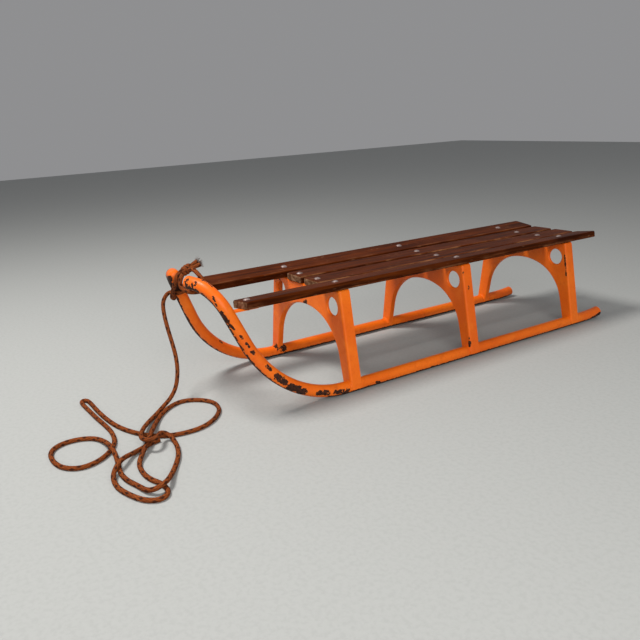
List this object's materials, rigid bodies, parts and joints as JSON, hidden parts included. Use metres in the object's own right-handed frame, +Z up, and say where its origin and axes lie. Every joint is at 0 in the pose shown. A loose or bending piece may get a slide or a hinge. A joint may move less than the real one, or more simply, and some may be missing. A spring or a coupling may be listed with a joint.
{
  "type": "slatted sled",
  "caption": "Low sled with bent tube runners, pressed arch brackets, riveted wooden slats and a loose pull rope lashed to the runner tips.",
  "frame": {"origin": "on the floor, under the middle of the sled without its rope", "axes": "+X to the sled's left, +Y to its rear, +Z up"},
  "size_m": [0.4869, 1.3842, 0.2963],
  "materials": {
    "orange_paint": "semi-gloss orange paint with chips and scuffs down to dark metal",
    "slat_wood": "dark red-brown varnish, worn along the edges",
    "rivet_steel": "dull grey rivet heads",
    "rope": "braided brown cord with dark flecks"
  },
  "bodies": {
    "root": {"runner_left": "orange_paint", "tip_cap_left": "orange_paint", "heel_cap_left": "orange_paint", "slat_tab_left": "orange_paint", "runner_right": "orange_paint", "tip_cap_right": "orange_paint", "heel_cap_right": "orange_paint", "slat_tab_right": "orange_paint", "front_bracket": "orange_paint", "front_welds": "orange_paint", "front_rivets": "rivet_steel", "middle_bracket": "orange_paint", "middle_welds": "orange_paint", "middle_rivets": "rivet_steel", "rear_bracket": "orange_paint", "rear_welds": "orange_paint", "rear_rivets": "rivet_steel", "tab_rivets": "rivet_steel", "slat_outer_left": "slat_wood", "slat_outer_right": "slat_wood", "slat_inner_left": "slat_wood", "slat_inner_right": "slat_wood", "pull_rope": "rope", "lashing_left": "rope", "lashing_right": "rope", "knot": "rope", "knot_tails": "rope"}
  },
  "joints": []
}
